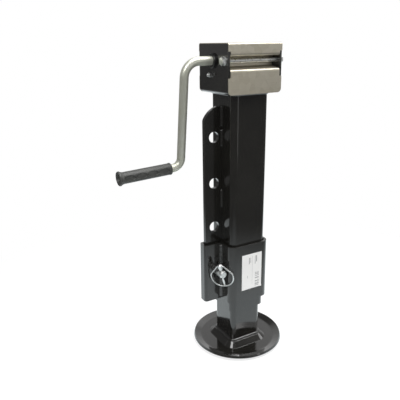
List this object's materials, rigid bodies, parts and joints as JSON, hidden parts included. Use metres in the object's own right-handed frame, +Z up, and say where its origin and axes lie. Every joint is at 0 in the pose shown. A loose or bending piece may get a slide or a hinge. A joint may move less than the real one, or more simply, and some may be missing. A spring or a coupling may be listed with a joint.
{
  "type": "trailer prop stand",
  "caption": "Square telescopic prop stand with a side crank, bevel gear head, round foot, and a sleeve locked to a perforated plate by a cross pin.",
  "frame": {"origin": "centre of the foot's sole, on the ground, with the leg fully wound in", "axes": "+Z up along the leg, -Y to the front, -X to the side of the crank and the perforated plate"},
  "size_m": [0.336, 0.19, 0.618],
  "materials": {
    "black_paint": "gloss black paint over welded steel",
    "galvanised_sheet": "galvanised, satin with faint spangle",
    "zinc_rod": "zinc plated bright rod",
    "grip_vinyl": "satin black vinyl, embossed",
    "bush_plastic": "moulded black nylon",
    "bright_zinc": "bright zinc plating",
    "machined_steel": "turned steel, greased",
    "bearing_steel": "ground bearing steel",
    "bronze": "machined bronze"
  },
  "bodies": {
    "stand": {"outer_tube": "black_paint", "bearing_plate": "machined_steel", "bearing_upper_race": "bearing_steel", "gear_washer": "machined_steel", "housing_weld": "black_paint", "perforated_plate": "black_paint", "plate_welds": "black_paint", "gear_housing": "black_paint", "gear_cover": "galvanised_sheet", "crank_bush_left": "bush_plastic", "crank_bush_right": "bush_plastic", "tie_bolt": "bright_zinc", "tie_bolt_washers": "bright_zinc", "tie_bolt_nut": "bright_zinc", "locating_bolt": "bright_zinc", "locating_nut": "bright_zinc", "mounting_sleeve": "black_paint", "sleeve_channel": "black_paint", "sleeve_welds": "black_paint"},
    "crank": {"crank_rod": "zinc_rod", "crank_grip": "grip_vinyl", "bevel_pinion": "machined_steel", "pinion_pin": "machined_steel", "shaft_washer": "bright_zinc", "shaft_split_pin": "bright_zinc"},
    "screw": {"lead_screw": "machined_steel", "bevel_gear": "machined_steel", "gear_pin": "machined_steel", "bearing_lower_race": "bearing_steel", "screw_stop_collar": "machined_steel", "screw_stop_pin": "machined_steel"},
    "roller_cage": {"bearing_rollers": "bearing_steel", "bearing_cage": "bronze"},
    "inner_leg": {"inner_tube": "black_paint", "nut_plate": "machined_steel", "lead_nut": "bronze", "foot_plate": "black_paint", "foot_weld": "black_paint"},
    "locking_pin": {"locking_pin": "bright_zinc", "linch_pin": "bright_zinc"},
    "linch_ring": {"linch_ring": "bright_zinc"}
  },
  "joints": [
    {"name": "crank_turn", "type": "hinge", "parent": "stand", "child": "crank", "pos_m": [0, 0, 0.588], "axis": [1, 0, 0], "range_deg": [0, 47520]},
    {"name": "screw_turn", "type": "hinge", "parent": "stand", "child": "screw", "pos_m": [0, 0, 0.5], "axis": [0, 0, 1], "range_deg": [0, 23760]},
    {"name": "roller_cage_turn", "type": "hinge", "parent": "stand", "child": "roller_cage", "pos_m": [0, 0, 0.5], "axis": [0, 0, 1], "range_deg": [0, 11880]},
    {"name": "leg_slide", "type": "slide", "parent": "stand", "child": "inner_leg", "axis": [0, 0, -1], "range_m": [0, 0.33]},
    {"name": "locking_pin_turn", "type": "hinge", "parent": "stand", "child": "locking_pin", "pos_m": [-0.057, 0, 0.1773], "axis": [0, 1, 0], "range_deg": [0, 28]},
    {"name": "linch_ring_flip", "type": "hinge", "parent": "locking_pin", "child": "linch_ring", "pos_m": [-0.06148, -0.029, 0.19525], "axis": [-0.6237, 0.766, -0.1555], "range_deg": [0, 150], "stiffness_Nm_per_rad": 0.01, "springref_deg": -22.92}
  ],
  "couplings": [
    {"joint": "screw_turn", "follows": "crank_turn", "ratio": 0.5},
    {"joint": "roller_cage_turn", "follows": "crank_turn", "ratio": 0.25},
    {"joint": "leg_slide", "follows": "crank_turn", "m_per_rad": 0.00039788}
  ]
}
